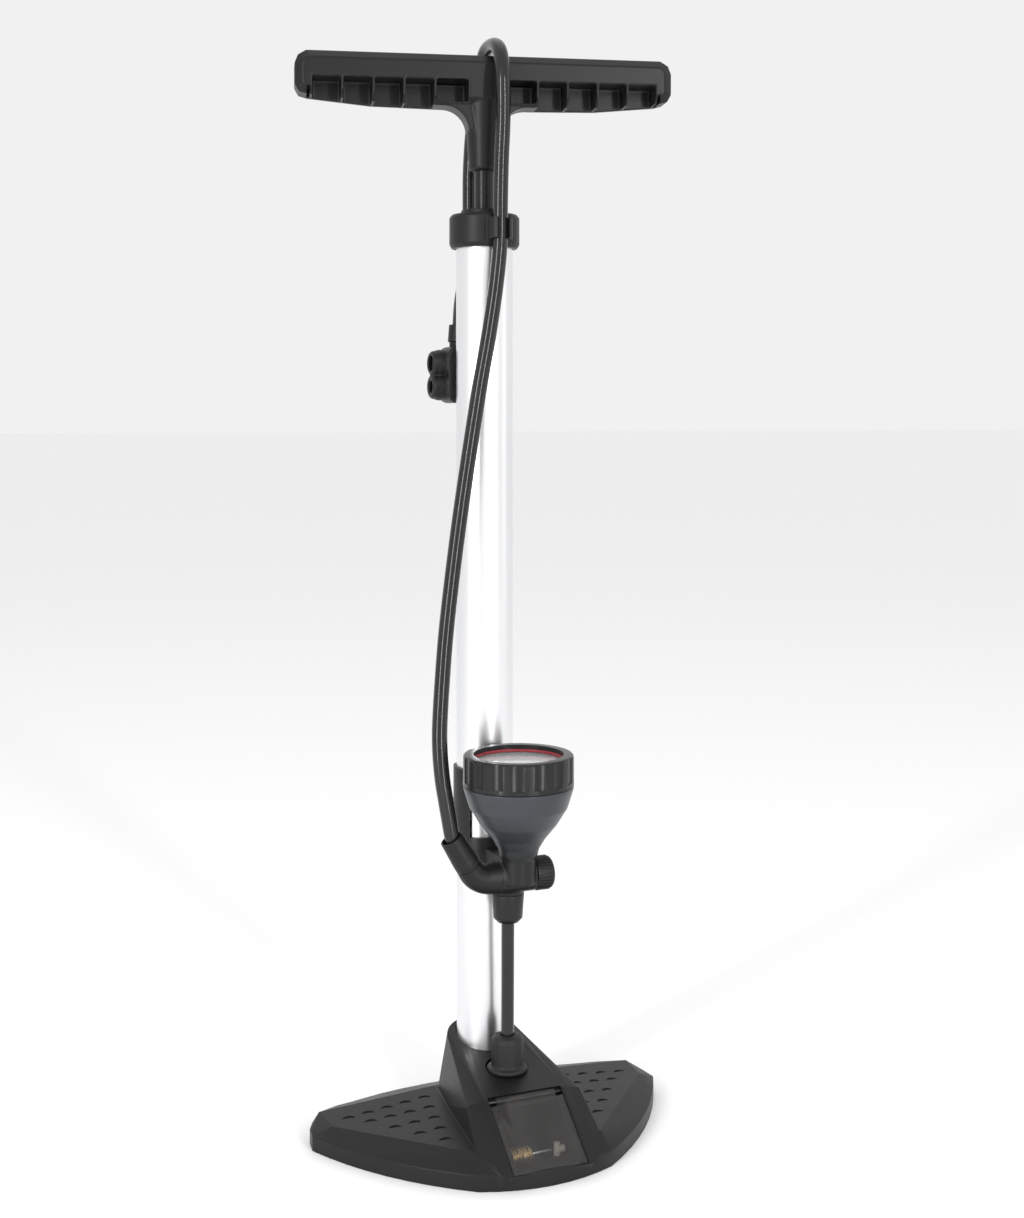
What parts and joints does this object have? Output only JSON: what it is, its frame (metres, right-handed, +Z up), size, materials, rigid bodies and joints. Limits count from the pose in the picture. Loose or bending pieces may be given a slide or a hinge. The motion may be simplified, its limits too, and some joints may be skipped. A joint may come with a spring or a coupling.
{
  "type": "floor bike pump",
  "caption": "Floor pump with a two-wing base, polished barrel, sliding T-handle, upward-facing gauge and a long hose parked over the handle.",
  "frame": {"origin": "on the floor under the barrel's axis", "axes": "+Z up along the barrel, -Y to the front where the gauge and storage door are, +X to the right along the handle"},
  "size_m": [0.2332, 0.146, 0.6809],
  "materials": {
    "black_plastic": "fine moulded texture",
    "handle_plastic": "satin moulded",
    "grey_plastic": "satin moulded",
    "cup_plastic": "satin slate grey",
    "bezel_plastic": "satin black",
    "head_plastic": "satin moulded",
    "barrel_metal": "polished, clear anodised",
    "black_metal": "black satin",
    "steel": "bright zinc",
    "brass": "machined",
    "rubber": "matt",
    "hose_rubber": "glossy black",
    "red_rubber": "matt",
    "red_plastic": "dark red",
    "pale_plastic": "natural nylon",
    "dial": "printed white",
    "clear_lens": "clear",
    "smoked_door": "smoked transparent plastic"
  },
  "bodies": {
    "base": {"base_shell": "black_plastic", "base_plate": "black_plastic", "base_screws": "steel", "grip_pads": "rubber", "door_pin": "steel", "brass_adapter": "brass", "ball_needle": "steel", "tapered_nozzle": "pale_plastic", "barrel": "barrel_metal", "foot_plug": "black_plastic", "check_valve": "red_rubber", "lower_boot": "rubber", "lower_hose": "hose_rubber", "collar": "black_plastic", "rod_bushing": "black_plastic", "gauge_bracket": "grey_plastic", "bracket_screw": "steel", "valve_block": "grey_plastic", "socket_nut": "grey_plastic", "gauge_cup": "cup_plastic", "gauge_movement": "brass", "needle_post": "steel", "dial_plate": "dial", "gauge_lens": "clear_lens", "hose_elbow": "black_plastic", "hose_ferrule": "black_plastic", "main_hose": "hose_rubber", "head_ferrule": "black_plastic", "head_body": "head_plastic", "head_cap": "grey_plastic", "port_gaskets": "rubber", "lever_pin": "steel"},
    "piston": {"piston": "black_plastic", "piston_seal": "rubber"},
    "handle": {"piston_rod": "black_metal", "handle": "handle_plastic", "handle_insert": "steel"},
    "door": {"storage_door": "smoked_door"},
    "bezel": {"gauge_bezel": "bezel_plastic", "target_ring": "red_plastic"},
    "needle": {"gauge_needle": "red_plastic"},
    "knob": {"release_knob": "black_plastic"},
    "lever": {"head_lever": "grey_plastic"}
  },
  "joints": [
    {"name": "handle_slide", "type": "slide", "parent": "base", "child": "piston", "axis": [0, 0, 1], "range_m": [0, 0.44], "deforming": ["main_hose"]},
    {"name": "handle_swivel", "type": "hinge", "parent": "piston", "child": "handle", "pos_m": [0, 0, 0.6], "axis": [0, 0, 1], "range_deg": [-25, 25]},
    {"name": "door_hinge", "type": "hinge", "parent": "base", "child": "door", "pos_m": [0, -0.06466, 0.03602], "axis": [-1, 0, 0], "range_deg": [0, 95]},
    {"name": "bezel_turn", "type": "hinge", "parent": "base", "child": "bezel", "pos_m": [0, -0.055, 0.235], "axis": [0, 0, 1], "continuous": true},
    {"name": "gauge_pointer", "type": "hinge", "parent": "base", "child": "needle", "pos_m": [0, -0.055, 0.23], "axis": [0, 0, -1], "range_deg": [0, 270]},
    {"name": "release_turn", "type": "hinge", "parent": "base", "child": "knob", "pos_m": [0.02, -0.05, 0.1664], "axis": [1, 0, 0], "range_deg": [0, 180]},
    {"name": "lever_flip", "type": "hinge", "parent": "base", "child": "lever", "pos_m": [0.011, 0.03, 0.4835], "axis": [0, -1, 0], "range_deg": [0, 90]}
  ]
}
